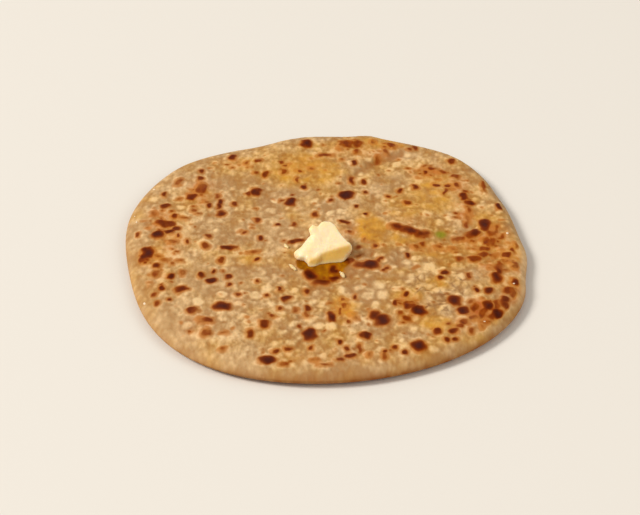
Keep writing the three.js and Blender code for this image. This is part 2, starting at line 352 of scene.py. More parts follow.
TOASTED = (
    (10.8, 85.6, 8, 7.5), (16.5, 86, 5, 7), (24.5, 88, 3.4, 4), (33.5, 84.5, 4.5, 5, 30),
    (30.5, 78.5, 3, 4.6), (16, 78, 2.6, 3.6), (26.5, 72, 2.2, 5.5), (0, 75, 9, 2.6), (45.7, 83, 2.6, 2.8),
    (53, 64, 4.4, 2.6, -25), (58, 61, 5, 2.6, -25), (64.5, 56.5, 5, 2.6, -25), (49.5, 66, 2.6, 2.2),
    (78, 49, 2, 8), (59, 42.7, 2.4, 4.6, -20), (-61, 46, 6.2, 9.4), (-72.4, 51.4, 4.2, 6.4, -25),
    (-71, 37.7, 3, 2), (-52.5, 39.7, 3, 2.6), (-33.5, 69.5, 4, 2.6), (-39.5, 67.5, 2.4, 2.6),
    (-35, 59.7, 2.6, 2.2), (-21.7, 67.5, 2.6, 2), (-20.7, 60.5, 3, 3.4), (-14, 53.5, 2.2, 3.4),
    (-82.6, 24.6, 4, 4.4), (-79.5, 17, 5, 5), (-68.4, 20.5, 5.6, 2.4, -22), (-63.5, 26.7, 4, 2.2),
    (-72.2, 0.6, 5, 3), (-34, -6.4, 6.8, 2.4, 8), (-15.2, 15, 1.8, 2.8), (84, -36.4, 6, 4.6, 10),
    (-75, -13.7, 5.5, 3.4, -15), (-71.5, -16.2, 3, 2), (-78.5, -10.7, 5, 2, -20),
    (-68.2, -14.5, 4, 2.4, 10), (-86, -12.7, 4, 3.4), (-76, 8.9, 4.4, 1.8, 25), (-78.5, -24, 4, 5),
    (-66.2, -23.5, 3, 3.4), (-78.2, -39.2, 2.6, 2.2), (-76.5, -45.7, 3, 2.4), (-59.2, -51.5, 4.6, 4.4, 35),
    (-54, -59.3, 8, 4.4, -5), (-53.2, -68, 5, 5), (-45, -68, 4, 2.2), (-45.2, -78.5, 3.6, 2),
    (-8.7, -54.5, 2.6, 4), (6.2, -52, 1.8, 4), (8, -43.5, 4, 2.6), (10.2, -59.7, 2.6, 2.2),
    (4, -28.6, 4, 1.8, 10), (69.5, 27, 2.6, 5, 5), (68.5, 21, 2.4, 5, 10), (67.5, 16, 2.4, 4),
    (63.5, 4, 7, 3.6, 8), (76, 2.5, 4, 5), (81.8, 12, 1.8, 5), (84, 5.7, 2.4, 3), (42.2, -3.2, 3.4, 2.4),
    (46, -0.5, 3, 2.2), (53, -2.2, 4, 2), (60, -3.5, 4, 2.4), (62.7, -11.5, 4, 2.4), (75, -4, 5, 3.4),
    (79, -9, 5, 3.4, 20), (88, -4.5, 2.6, 4), (90, -1, 2, 4), (88.5, -18, 4, 4, -30), (84, -14, 4, 3),
    (81, -17.5, 2.4, 6), (86, -39, 3.4, 5), (81, -45.5, 4, 8), (66, -45, 3.4, 2.6),
    (67.5, -49.5, 3.4, 6.5, -25), (70.8, -53.5, 3.2, 8.5, -25), (75.5, -54, 3, 6, -30),
    (66.2, -57.5, 5.4, 3.4, 25), (71.5, -59.5, 5, 3, 15), (62, -60.5, 5, 4.4), (59.5, -63.5, 4, 2.4),
    (65, -66, 3, 2.6), (70, -63, 2.4, 3), (77.5, -47.5, 3, 5), (38.5, -47, 6.4, 4.4, -15),
    (36.5, -57, 4.4, 3), (33.5, -53.5, 2.6, 2.4), (-21, 35.8, 3.4, 1.6),
    (-18.2, -88.5, 4.6, 2.4), (-5.2, -86, 4, 1.8), (-0.5, -88.8, 6, 1.4), (6, -85.6, 4, 1.4, 10),
    (15, -77.5, 2.2, 5), (19, -82.5, 2.4, 2.6), (25.7, -83, 3, 3.6), (34, 12.4, 9, 5, -22),
    (40, 9.6, 11, 5.6, -24), (46.5, 7, 10, 5, 6), (78.5, 1, 4, 7, -20), (80.5, -19, 4, 6), (74, -9, 6, 4, 20),
    (79, 8, 4, 5, 20), (70, 7.6, 9, 5, 30), (-55.7, 4.8, 3, 2.4), (-13.4, -50.8, 2.6, 2.6),
    (13.5, -57, 3, 2.6), (8.5, -48.5, 3, 3.4), (15.5, -3, 2.4, 2), (18.5, 3.5, 2, 2), (15.5, -10, 3, 2),
)
BLISTERED = (  # x, y, size
    (-26.7, -36, 5), (-14, -36.2, 3.4), (-32, -40.5, 4.4), (-24.7, -46.5, 3.4), (-16.7, -48.5, 3),
    (-1.5, -46.5, 3.6), (-6, -44.5, 3), (16, -34.5, 4), (24.7, -32.2, 5), (19.7, -41, 4.8), (26, -40.5, 4.8),
    (7.2, -35, 4), (-14, -61, 4), (2, -63, 5), (-19.5, -67, 3.4), (-13.2, -66.7, 3.2), (-14.7, -73.5, 4),
    (-3, -62.5, 3), (-9, -57, 3), (-1, -83, 3.4), (22.5, -47.5, 4), (6.7, 25.5, 3), (-26.5, 27.7, 4.6),
    (41.5, -12, 3.2), (40, -26, 4.2), (44, -26.5, 3), (48, -18.5, 5.4), (61.5, -17.5, 5), (61, -26.5, 3),
    (46.7, -43.5, 4.2), (54, -50.5, 4.4), (52.5, -36.5, 5), (47, -34, 3.6), (-47.5, -40, 4.4),
    (-58, -45, 3.6), (-38, -56, 3.2), (-62, -62, 3.4), (-70, 30, 3), (-84, 37, 4), (-5, 35, 3.4),
    (-25, 36, 3), (60, 22, 4.6), (55, 17, 4), (63, 14, 3.4), (49, 24, 3.4), (36, 68, 3.6), (42, 62, 3.4),
    (51, -22, 3.4), (38, -30, 3.2), (33, -36, 3.6), (12, -66, 3.4), (-40, -47, 3), (-46, -58, 3),
    (9, 15.8, 2.4), (12.2, 17, 2.4), (15, 15, 2.6), (16.8, 11.5, 2.2), (17.4, 8, 2), (14.4, 9, 1.8),
)
OILY = (  # x, y, half width, half depth, strength: butter soaked in
    (-9, 61, 17, 14, 1.0), (54, 44, 10, 18, 0.9), (21, 10, 7, 12, 1.5), (51.5, -6.5, 9, 5, 0.5),
    (51, -62, 7, 5, 1.3), (8, -51, 6, 9, 1.4), (50.5, -32.5, 5, 5, 0.9), (-35, -14, 6, 5, 0.6),
    (30, 87, 12, 7, 0.8), (76, 18, 6, 10, 0.7), (74, -2, 8, 9, 0.6), (68, -58, 10, 7, 0.4),
    (37, 4, 8, 6, 0.8), (38, 26, 9, 9, 0.5), (-18, -12, 5, 9, 0.3), (-60, 42, 8, 9, 0.4),
    (-71, 9, 9, 11, 0.4), (-38, 66, 10, 6, 0.4), (87, -10, 5, 11, 0.9), (-82, -12, 6, 8, 0.4),
    (37, -43, 7, 5, 0.8), (0, -85, 26, 5, 0.25), (88, -34, 5, 9, 0.6),
)
BROWNED = (  # x, y, half width, half depth, strength: broad red-brown tints where the bread met the griddle
    (-61, 41, 8, 12, 1.0), (-78, 18, 8, 11, 1.0), (-72, -2, 8, 10, 0.6), (-84, -11, 7, 8, 0.8),
    (-46, 68, 9, 6, 0.4), (14, 79, 14, 9, 0.7), (34, 83, 8, 6, 0.7), (55, 60, 9, 7, 1.0),
    (66, 48, 6, 9, 0.8), (67, 26, 6, 10, 1.0), (81, 4, 8, 11, 1.3), (71, 0, 8, 9, 1.2),
    (88, -14, 5, 9, 1.2), (86, -36, 6, 10, 1.2), (71, -52, 7.4, 7.4, 4), (63, -62, 8, 6, 0.4),
    (78, -16, 7, 12, 0.9), (37, -46, 6, 5, 1.3), (37, -57, 6, 5, 1.1), (42, 18, 9, 5, 0.4),
    (50, -3, 11, 5, 0.9), (-57, -64, 8, 8, 0.6), (-42, -45, 7, 6, 0.3), (-27, -61, 6, 6, 0.4),
    (6, -53, 5, 8, 0.8), (4, -84, 26, 5, 0.4), (-12, 66, 14, 9, 0.4), (-76, -30, 6, 9, 0.5),
    (11, 11, 5, 6, 0.7), (30, 75, 8, 5, 0.8), (51, 60, 9, 5, 1.6),
)
# Mostly uneven baking. The rows on the rim at (0, -99), (56, -86) and (-93, 0) are painted shade, and those
# at (-78, -48) and (96, -20) painted light.
BAKED_AND_LIT = (  # x, y, half width, half depth, how much lighter and how much flourier than the rest
    (-78, -48, 10, 22, 0.05, 0.2), (-93, 0, 8, 20, -0.05, 0), (-22, 6, 9, 12, 0.12, 0.6),
    (32, 0, 14, 30, -0.14, 0.1), (2, 28, 7, 8, -0.14, 0.2), (15, -6, 9, 14, -0.1, 1.1),
    (14, -30, 7, 16, -0.12, 0.5), (40, -12, 10, 8, 0.08, 0.2), (-75, -12, 10, 14, 0, -0.4),
    (-22, -30, 7, 20, -0.08, 0), (-45, -58, 12, 8, -0.19, 0.4), (-4, -86, 30, 7, 0.09, 0.5),
    (51, -43, 6, 7, -0.12, 0.5), (44, 56, 10, 8, 0.1, 0), (88, 14, 6, 14, -0.1, -0.4),
    (-60, -58, 12, 14, 0, 0.6), (63, -58, 9, 9, 0, 1.0), (-71, 4, 9, 14, 0.02, 0.4),
    (-60, 42, 9, 10, 0, 0.3), (64, 14, 8, 8, 0.04, 0.5), (96, -20, 8, 34, 0.24, 0.2),
    (0, -99, 60, 8, -0.2, 0), (56, -86, 22, 7, -0.1, 0), (-45, -20, 50, 75, 0, 0.3),
    (0, 67, 14, 8, -0.1, 0), (38, 33, 12, 12, -0.06, 0), (20, 9, 8, 12, -0.1, -0.2),
    (42, 70, 12, 8, 0.12, 0), (64, 32, 6, 10, 0.14, 0.1), (-22, 27, 9, 9, 0.1, 0), (0, -76, 10, 8, 0.1, 0),
    (-34, 71, 8, 5, -0.1, 0), (15, 13, 5, 7, -0.1, 0.9), (52, -9, 18, 11, 0, -0.6), (37, -1, 8, 6, -0.09, 0),
    (28, 10, 6, 10, -0.05, 0.1), (45, 72, 8, 8, 0.17, 0), (82, 10, 8, 24, 0.04, 0.2), (26, -59, 6, 6, 0, 0.5),
    (52, -72, 8, 5, 0, -0.5), (38, -29, 8, 7, -0.1, 0), (15, -13, 8, 7, -0.08, 0), (8, -43, 12, 6, -0.08, 0),
    (-22, -43, 7, 6, -0.07, 0), (-22, -72, 6, 5, -0.08, 0), (-59, -15, 6, 6, -0.08, 0),
    (-22, -15, 6, 6, -0.09, 0), (27, -1, 8, 8, 0, -0.4), (14, 57, 6, 6, 0.08, 0), (76, 42, 5, 7, 0.1, 0),
    (62, 28, 5, 5, 0.07, 0),
)
CRACKED = ((45, -34, 7, 9, 0.8), (51, -46, 8, 8, 1.5), (61, -34, 7, 8, 0.8))  # where the dry skin split
DAMP = (  # x, y, half width, half depth, strength: dull places, where less butter soaked in
    (-49, -28, 16, 18, 0.9), (-68, -58, 9, 9, 1.0), (-21, 20, 13, 18, 0.8), (20, -37, 7, 13, 0.9),
    (37, -20, 12, 8, 0.8), (70, -28, 7, 8, 0.7), (31, 46, 9, 12, 0.7), (9, 33, 12, 6, 0.7),
    (-8, 44, 16, 6, 0.6), (42, 76, 6, 5, 0.8), (48, -46, 6, 5, 0.6), (72, 24, 5, 5, 0.5),
    (-12, -45, 10, 6, 0.6), (-42, 52, 12, 6, 0.6), (-40, 8, 16, 12, 0.5), (66, 36, 4, 8, 0.6),
)
MELTED = (  # x, y, half width, half depth, strength: a puddle before the knob, and a wet ring round its foot
    (-0.5, -21, 9.5, 9.5, 1.2), (-9.5, -16.5, 4.4, 5, 1.2), (6, -16, 5.4, 6, 1.1), (0, -10, 10.5, 8, 1.0),
)
HERB = (54.8, 7, 5.2, 5.6)  # x, y, half width, half depth of the leaf under the skin
SPOT_KINDS = ("charred", "dark", "toasted")
SPOT_REACH = 4.5  # how far outside its edge a spot is still felt
RIM_KEEPS_BACK = 3.5  # how much further from every spot the rim counts as lying, as it touched no iron
MARKS_MIDDLE = (0, -0.5)  # the point that the rows are measured from
SPOT_STRETCH = 1.08  # how much deeper a wide spot is than its row says, as the dough was rolled out along Y
SMALL_STRETCH = 0.3  # how much more of that a small spot has
SPOT_DEPTH = 2.0  # how far inside its edge the middle of a narrow spot counts as
FULLNESS = 2.6  # 2 makes plain ellipses of the marks, and more makes their ends fuller
UNDER_SPOTS = 70
SCORCH_COUNT = 1600
FRECKLE_COUNT = 240
PIMPLE_COUNT = 1500
MARKS_WITHIN = 94


class Marks:
    """Collects griddle spots, pale skin and fine relief over one face of the bread.
    Each kind of spot is kept as how far a point lies outside the nearest one, in millimetres."""

    def __init__(self, x, y):
        self.x = x - MARKS_MIDDLE[0] + 0.4 * wobble(x, y, 6, 3)
        self.y = y - MARKS_MIDDLE[1] + 0.4 * wobble(x, y, 6, 4)
        self.outside = {kind: np.full_like(x, SPOT_REACH) for kind in SPOT_KINDS}
        self.pale = np.zeros_like(x)
        self.hollow_shade = np.zeros_like(x)
        self.rise = np.zeros_like(x)

    def near(self, x, y, wide, deep, turn, reach):
        """The points round an ellipse, and how far each lies outside it."""
        far = max(wide, deep) / 2 + reach
        at = np.nonzero((np.abs(self.x - x) < far) & (np.abs(self.y - y) < far))[0]
        heading = math.radians(turn)
        away_x, away_y = self.x[at] - x, self.y[at] - y
        along = (away_x * math.cos(heading) + away_y * math.sin(heading)) / (wide / 2)
        across = (away_y * math.cos(heading) - away_x * math.sin(heading)) / (deep / 2)
        level = (np.abs(along) ** FULLNESS + np.abs(across) ** FULLNESS) ** (1 / FULLNESS)
        slope_along = np.abs(along) ** (FULLNESS - 1) / (wide / 2)
        slope_across = np.abs(across) ** (FULLNESS - 1) / (deep / 2)
        slope = np.maximum(np.hypot(slope_along, slope_across), 1e-6) / np.maximum(level, 1) ** (FULLNESS - 1)
        return at, (level - 1) * np.where(level < 1, min(wide, deep) / 2, 1 / slope)

    def spot(self, kind, x, y, wide, deep, turn=0, faint=0):
        """A browned place. A narrow one is as deep at its middle as a wide one, unless it is faint."""
        at, out = self.near(x, y, wide, deep, turn, SPOT_REACH)
        half = min(wide, deep) / 2
        out = np.where(out < 0, out * max(1, (SPOT_DEPTH - faint) / half), out) + faint
        self.outside[kind][at] = np.minimum(self.outside[kind][at], out)
        self.rise[at] += min(0.4, 0.18 * half) * smoothstep(1.5, -0.9, out)

    def blister(self, x, y, wide, deep, height, paleness, turn=0):
        """A dry bubble of dough: pale on top, with painted shade in a ring round it."""
        at, out = self.near(x, y, wide, deep, turn, 2.5)
        half = min(wide, deep) / 2
        share = np.clip(1 + out / half, 0, 1.5) / 1.5
        self.rise[at] += height * (1 - share**2) ** 2
        self.pale[at] = np.maximum(self.pale[at], paleness * smoothstep(0.9, -min(1.2, half), out))
        # Painted shade in a ring round the bubble.
        self.hollow_shade[at] = np.maximum(self.hollow_shade[at], paleness * bell(out - 1.2, 0.7))


def patches(x, y, rows, size, seed, uneven=0.45):
    """Soft uneven patches, from rows of x, y, half width, half depth and strength."""
    field = np.zeros_like(x)
    for patch_x, patch_y, half_wide, half_deep, strength in rows:
        away = np.hypot((x - patch_x) / half_wide, (y - patch_y) / half_deep)
        field = np.maximum(field, strength * smoothstep(1.5, 0.4, away))
    return field * np.clip(1 + uneven * wobble(x, y, size, seed), 0, 2)


def baked_and_lit(x, y):
    """How much lighter and how much flourier the dough is, each from broad soft patches that add up; those on
    the rim paint light and shade.
    """
    lighter, flourier = np.zeros_like(x), np.zeros_like(x)
    for patch_x, patch_y, half_wide, half_deep, light, flour in BAKED_AND_LIT:
        near = smoothstep(1.6, 0.3, np.hypot((x - patch_x) / half_wide, (y - patch_y) / half_deep))
        lighter += light * near
        flourier += flour * near
    return lighter, flourier


def blister_share(x, y):
    """Blisters crowd the front of the middle and thin out towards the back."""
    return 0.25 + 0.7 * math.exp(-(((x - 8) / 52) ** 2) - ((y + 42) / 34) ** 2)


def mark_top(x, y):
    marks = Marks(x, y)
    for kind, rows in zip(SPOT_KINDS, (CHARRED, DARK, TOASTED)):
        for x0, y0, wide, deep, *turn in rows:
            small = SMALL_STRETCH * smoothstep(5.0, 2.4, wide)
            marks.spot(kind, x0, y0, (1 - 0.4 * small) * wide, (SPOT_STRETCH + small) * deep, *turn)
    draw = seeded_draws(7)
    places = list(sunflower(SCORCH_COUNT, MARKS_WITHIN, 5, draw))
    for (x0, y0), share in zip(places, patches(*np.array(places).T, BROWNED, 8, 14)):
        size = lerp(1.2, 3.2, next(draw) ** 1.5)
        turn = lerp(-40, 20, next(draw))
        if next(draw) < 0.7 * share:
            wide = size * lerp(1, 1.8, next(draw))
            marks.spot("toasted", x0, y0, wide, size, turn, faint=lerp(0.1, 1.2, next(draw)))
    for x0, y0, size in BLISTERED:
        deep = size * lerp(0.95, 1.35, next(draw))
        marks.blister(x0, y0, 1.1 * size, deep, 0.035 * size, 0.7, 50 * (next(draw) - 0.5))
    for x0, y0 in sunflower(PIMPLE_COUNT, MARKS_WITHIN, 6, draw):
        size = lerp(1.4, 4.2, next(draw) ** 1.8)
        deep = size * lerp(0.8, 1.4, next(draw))
        paleness = lerp(0.1, 0.7, next(draw)) * lerp(0.7, 1.1, smoothstep(-40, 20, x0))
        turn = 60 * (next(draw) - 0.5)
        if next(draw) < blister_share(x0, y0):
            marks.blister(x0, y0, size, deep, 0.045 * size, paleness, turn)
    for x0, y0 in sunflower(FRECKLE_COUNT, MARKS_WITHIN - 4, 11, draw):
        size = lerp(0.7, 1.9, next(draw) ** 1.5)
        wide = size * lerp(1, 1.8, next(draw))
        marks.spot("toasted", x0, y0, wide, size, 180 * next(draw), faint=lerp(0.2, 1.5, next(draw)))
    return marks


def mark_underside(x, y):
    """The hidden face met the griddle too, so it has fewer, broader spots, made the same way."""
    marks = Marks(x, y)
    draw = seeded_draws(19)
    for x0, y0 in sunflower(UNDER_SPOTS, MARKS_WITHIN - 8, 14, draw):
        kind = SPOT_KINDS[int(3 * next(draw))]
        size = lerp(3, 9, next(draw) ** 1.5)
        marks.spot(kind, x0, y0, size * lerp(1, 1.5, next(draw)), size, 180 * next(draw))
    return marks


# ---- The bread's mesh ----

TOP_SPACING = 0.64
UNDER_SPACING = 2.2
ROW_HEIGHT = 0.866  # of a row of even triangles, in sides
FLAT_TOP_INSET = 11.6
PUDDLE_LEVEL = 0.45  # how far the melted butter stands above the dough's thickness
CREASE_SHADE = 0.16  # how much darker the dough is painted down in the crease, as painted shade
SHADED_FOOT_HEADING = 295  # where the rim's foot is darkest, from browning and painted shade, in degrees
BOX_MARGIN = 0.08  # how far the visual bread stays inside its solid's outline


def ring_plan():
    """Rings from the middle of the top, over the rim, to the middle of the underside. Each is its corner
    count, whether it is on top, its inset, and where that is None its share of the way to the rim."""
    plan = [(1, True, None, 0.0)]
    rings_top = round((MEAN_RADIUS - FLAT_TOP_INSET) / (TOP_SPACING * ROW_HEIGHT))
    for ring in range(1, rings_top + 1):
        share = ring / rings_top
        around = FULL_TURN * share * (MEAN_RADIUS - FLAT_TOP_INSET)
        plan.append((max(6, round(around / TOP_SPACING)), True, None, share))
    rim = [(TOP_SPACING, True, inset) for inset in np.linspace(FLAT_TOP_INSET, EDGE_ROUND, 14)[1:]]
    for turns, spacing, top in (
        (np.linspace(math.pi / 2, 0, 9)[1:], TOP_SPACING, True),
        (np.linspace(0, math.pi / 2, 7)[1:], 1.5 * TOP_SPACING, False),
    ):
        rim += [(spacing, top, EDGE_ROUND * (1 - math.cos(turn))) for turn in turns]
    plan += [(round(FULL_TURN * MEAN_RADIUS / spacing), top, inset, None) for spacing, top, inset in rim]
    rings_under = round((MEAN_RADIUS - EDGE_ROUND) / UNDER_SPACING)
    for ring in range(rings_under - 1, 0, -1):
        share = ring / rings_under
        around = FULL_TURN * share * (MEAN_RADIUS - EDGE_ROUND)
        plan.append((max(6, round(around / UNDER_SPACING)), False, None, share))
    plan.append((1, False, None, 0.0))
    return plan


def zip_rings(last, last_count, new, new_count):
    """The triangles between two rings of any corner counts, found by walking round both."""
    steps_last = last_count if last_count > 1 else 0
    steps_new = new_count if new_count > 1 else 0
    i = j = 0
    while i < steps_last or j < steps_new:
        if j >= steps_new or (i < steps_last and (i + 0.5) * new_count < (j + 0.5) * last_count):
            yield last + i, new + j % new_count, last + (i + 1) % last_count
            i += 1
        else:
            yield last + i % last_count, new + j, new + (j + 1) % new_count
            j += 1


def build_bread():
    headings, insets, on_top, faces = [], [], [], []
    last = last_count = first = 0
    for count, top, inset, share in ring_plan():
        heading = np.arange(count) / count * FULL_TURN
        if inset is None:
            edge = outline_radius(heading)
            inset = edge - share * (edge - (FLAT_TOP_INSET if top else EDGE_ROUND))
        headings.append(heading)
        insets.append(np.zeros(count) + inset)
        on_top.append(np.full(count, top))
        if first:
            faces.extend(zip_rings(last, last_count, first, count))
        last, last_count, first = first, count, first + count
    heading, inset, top = np.concatenate(headings), np.concatenate(insets), np.concatenate(on_top)
    edge = outline_radius(heading)
    x, y = (edge - inset) * np.cos(heading), (edge - inset) * np.sin(heading)
    share = shoulder_share(heading, inset)
    over, below = mark_top(x, y), mark_underside(x, y)
    on_shoulder = smoothstep(0.05, 0.45, share) * top
    rise = over.rise * on_shoulder
    plain = top_height(heading, inset, x, y)
    melt = np.clip(patches(x, y, MELTED, 8, 13, uneven=0.22), 0, 1) * top
    level = THICKNESS + PUDDLE_LEVEL + 0.1 * wobble(x, y, 14, 31)
    wet = smoothstep(0.1, 0.7, melt)
    z = np.where(top, lerp(plain + rise, np.maximum(plain, level), wet), under_height(heading, inset))
    aside, crease = crease_lines(x, y)
    lighter, flourier = baked_and_lit(x, y)
    # Painted shade down the crease.
    lighter -= CREASE_SHADE * crease * bell(aside, 1.3)
    # The rim's foot is browned, with painted shade that is strongest on the side facing the front.
    facing_front = np.maximum(0, np.cos(heading - math.radians(SHADED_FOOT_HEADING))) ** 2
    fields = {
        # Blisters are pale, less the painted shade round them.
        "pale": (over.pale - 0.4 * over.hollow_shade * (1 - over.pale)) * on_shoulder * smoothstep(0.3, 0, melt),
        "lighter": lighter * top,
        "flourier": flourier * top,
        "cracked": np.clip(patches(x, y, CRACKED, 9, 18), 0, 1) * on_shoulder,
        "singed": smoothstep(6.0, 1.8, z) * lerp(0.25, 1, facing_front),
        "oil": patches(x, y, OILY, 7, 11) * on_shoulder,
        "browned": patches(x, y, BROWNED, 8, 14) * on_shoulder,
        # The crease also counts as dull, which paints a little more shade along it.
        "damp": (patches(x, y, DAMP, 9, 12) + crease * bell(aside, 2.6)) * on_shoulder,
        "rim": 1 - share,
        "melt": melt,
        "herb": smoothstep(1.2, 0.2, np.hypot((x - HERB[0]) / HERB[2], (y - HERB[1]) / HERB[3])) * top,
        "crumbs": top * bell(share - 0.45, 0.3) * (1 - 0.96 * smoothstep(0.9, 1.0, share)),
        "relief": np.where(top, (top_relief(x, y) + rise) * on_shoulder, 0),
        "skin": (1 - wet) * on_shoulder,
    }
    kept_back = RIM_KEEPS_BACK * smoothstep(0.5, 0.15, share)
    for kind in SPOT_KINDS:
        fields[kind] = np.where(top, over.outside[kind], below.outside[kind]) + kept_back
    spread = 1 - BOX_MARGIN / MEAN_RADIUS
    points = np.stack([(x - MIDDLE[0]) * spread, (y - MIDDLE[1]) * spread, z], 1) * MM
    return solid_piece("paratha_bread", points, faces, fields)


def solid_piece(name, points, faces, fields):
    mesh = bpy.data.meshes.new(name)
    mesh.from_pydata(points.tolist(), [], list(faces))
    for field, values in fields.items():
        attribute = mesh.attributes.new(field, "FLOAT", "POINT")
        attribute.data.foreach_set("value", values.astype(np.float32))
    mesh.shade_smooth()
    return place_object(name, mesh)


# ---- Geometry Nodes ----

NOISE = "ShaderNodeTexNoise"
RANGE = "ShaderNodeMapRange"
VECTOR = "ShaderNodeVectorMath"
ROLLED_OUT = 0.7  # the rolling pin drew the mottling and the pebbles out along Y
PEBBLE_SIZE = 2.6


def new_tree(name, sizes):
    """A geometry tree with named inputs for its sizes, and one for the finish."""
    tree = bpy.data.node_groups.new(name, "GeometryNodeTree")
    for way in ("INPUT", "OUTPUT"):
        tree.interface.new_socket("Geometry", in_out=way, socket_type="NodeSocketGeometry")
    for title, value in sizes.items():
        kind = "NodeSocketInt" if isinstance(value, int) else "NodeSocketFloat"
        tree.interface.new_socket(title, in_out="INPUT", socket_type=kind).default_value = value
    tree.interface.new_socket("Finish", in_out="INPUT", socket_type="NodeSocketMaterial")
    given = {title: node(tree, "NodeGroupInput", out=title) for title in ("Geometry", *sizes, "Finish")}
    return tree, given


def end_tree(tree, given, geometry):
    """Gives the geometry its finish and sends it out."""
    geometry = node(tree, "GeometryNodeSetMaterial", {"Geometry": geometry, "Material": given["Finish"]})
    node(tree, "NodeGroupOutput", (geometry,))
    return tree


def pushed(tree, geometry, way, amount):
    """The geometry with its points moved along their own ways."""
    offset = node(tree, VECTOR, {"Vector": way, "Scale": amount}, operation="SCALE")
    return node(tree, "GeometryNodeSetPosition", {"Geometry": geometry, "Offset": offset})


def rolled_pebbles(tree, place, scale):
    """Places as they were before rolling out, and how far each lies from the middle of its pebble."""
    rolled = node(tree, VECTOR, (place, (1, ROLLED_OUT, 0.3)), operation="MULTIPLY")
    cells = {"Vector": rolled, "Scale": scale, "Smoothness": 0.35}
    return rolled, node(tree, "ShaderNodeTexVoronoi", cells, feature="SMOOTH_F1")


def grow(piece, tree, **values):
    """Runs a tree on a piece with the values that it is given, and keeps the result as its plain mesh."""
    modifier = piece.modifiers.new(tree.name, "NODES")
    modifier.node_group = tree
    for item in tree.interface.items_tree:
        if item.in_out == "INPUT" and item.name in values:
            modifier[item.identifier] = values[item.name]
    held = bpy.context.evaluated_depsgraph_get()
    mesh = bpy.data.meshes.new_from_object(piece.evaluated_get(held))
    piece.modifiers.remove(modifier)
    piece.data = mesh
    return piece


def dough_skin_tree():
    """Fine relief of dry dough: pebbles, small wrinkles and grain, raised along the surface's own normal."""
    sizes = {
        "Pebble Size": PEBBLE_SIZE * MM, "Pebble Height": 0.3 * MM,
        "Wrinkle Size": 2.8 * MM, "Wrinkle Height": 0.4 * MM,
        "Grain Size": 1.4 * MM, "Grain Height": 0.15 * MM,
    }
    tree, given = new_tree("dough_skin", sizes)
    place = node(tree, "GeometryNodeInputPosition")
    _, pebbles = rolled_pebbles(tree, place, calc(tree, (1.0, given["Pebble Size"]), "DIVIDE"))
    height = calc(tree, (0.42, pebbles), "SUBTRACT")
    height = calc(tree, (height, given["Pebble Height"]), "MULTIPLY")
    for kind in ("Wrinkle", "Grain"):
        scale = calc(tree, (1.0, given[kind + " Size"]), "DIVIDE")
        level = node(tree, NOISE, {"Vector": place, "Scale": scale, "Detail": 1.0})
        middle = calc(tree, (level, 0.5), "SUBTRACT")
        height = calc(tree, (middle, given[kind + " Height"], height), "MULTIPLY_ADD")
    skin = node(tree, "GeometryNodeInputNamedAttribute", ("skin",), data_type="FLOAT")
    height = calc(tree, (height, skin), "MULTIPLY")
    facing = node(tree, "GeometryNodeInputNormal")
    return end_tree(tree, given, pushed(tree, given["Geometry"], facing, height))


def butter_shreds_tree():
    """Flakes of butter along short lines: thickest in the middle, closed at both ends, bent and uneven."""
    sizes = {"Thickness": 1.7 * MM, "Uneven Size": 1.6 * MM, "Uneven Height": 0.9 * MM, "Rings": 11}
    tree, given = new_tree("butter_shreds", sizes)
    line = node(tree, "GeometryNodeMeshToCurve", {"Mesh": given["Geometry"]})
    line = node(tree, "GeometryNodeResampleCurve", {"Curve": line, "Count": given["Rings"]})
    along = node(tree, "GeometryNodeSplineParameter", out="Factor")
    back = calc(tree, (1.0, along), "SUBTRACT")
    taper = calc(tree, (along, back), "MULTIPLY")
    taper = calc(tree, (taper, 2.0, 0.5), "MULTIPLY_ADD")
    radius = calc(tree, (given["Thickness"], 0.5), "MULTIPLY")
    ring = node(tree, "GeometryNodeCurvePrimitiveCircle", {"Resolution": 10, "Radius": radius})
    body = {"Curve": line, "Profile Curve": ring, "Scale": taper, "Fill Caps": True}
    body = node(tree, "GeometryNodeCurveToMesh", body)
    scale = calc(tree, (1.0, given["Uneven Size"]), "DIVIDE")
    bend = node(tree, NOISE, {"Scale": scale, "Detail": 1.0}, out="Color")
    bend = node(tree, VECTOR, (bend, (0.5, 0.5, 0.5)), operation="SUBTRACT")
    return end_tree(tree, given, pushed(tree, body, bend, given["Uneven Height"]))


def crumbs_tree():
    """Crumbs of dough and salt, scattered over a surface and lying on it."""
    sizes = {"Crumb Size": 0.5 * MM, "Per Square Metre": 2600.0, "Pattern": 4}
    tree, given = new_tree("crumbs", sizes)
    share = node(tree, "GeometryNodeInputNamedAttribute", ("crumbs",), data_type="FLOAT")
    density = calc(tree, (share, given["Per Square Metre"]), "MULTIPLY")
    points = {"Mesh": given["Geometry"], "Density": density, "Seed": given["Pattern"]}
    points = node(tree, "GeometryNodeDistributePointsOnFaces", points)
    crumb = node(tree, "GeometryNodeMeshIcoSphere", {"Radius": given["Crumb Size"], "Subdivisions": 2})
    least, most = (0.6, 0.6, 0.5), (1.3, 1.8, 0.9)
    scale = node(tree, "FunctionNodeRandomValue", (least, most), data_type="FLOAT_VECTOR")
    crumbs = {"Points": points, "Instance": crumb, "Scale": scale}
    crumbs = node(tree, "GeometryNodeInstanceOnPoints", crumbs)
    crumbs = node(tree, "GeometryNodeRealizeInstances", {"Geometry": crumbs})
    return end_tree(tree, given, crumbs)


# ---- The butter ----

SHREDS = (  # x and y of both ends: flakes that broke off the knob and lie beside it
    (-19.4, -1.8, -17.6, -4.6), (-16.8, -17.2, -13.8, -21.2), (6.9, -23.2, 8.7, -27.4),
)
SHREDS_LIE = 0.5  # how far their middle lines lie above the dough
SHREDS_GOLDEN = 0.7  # how much of the colour of the knob's foot they have

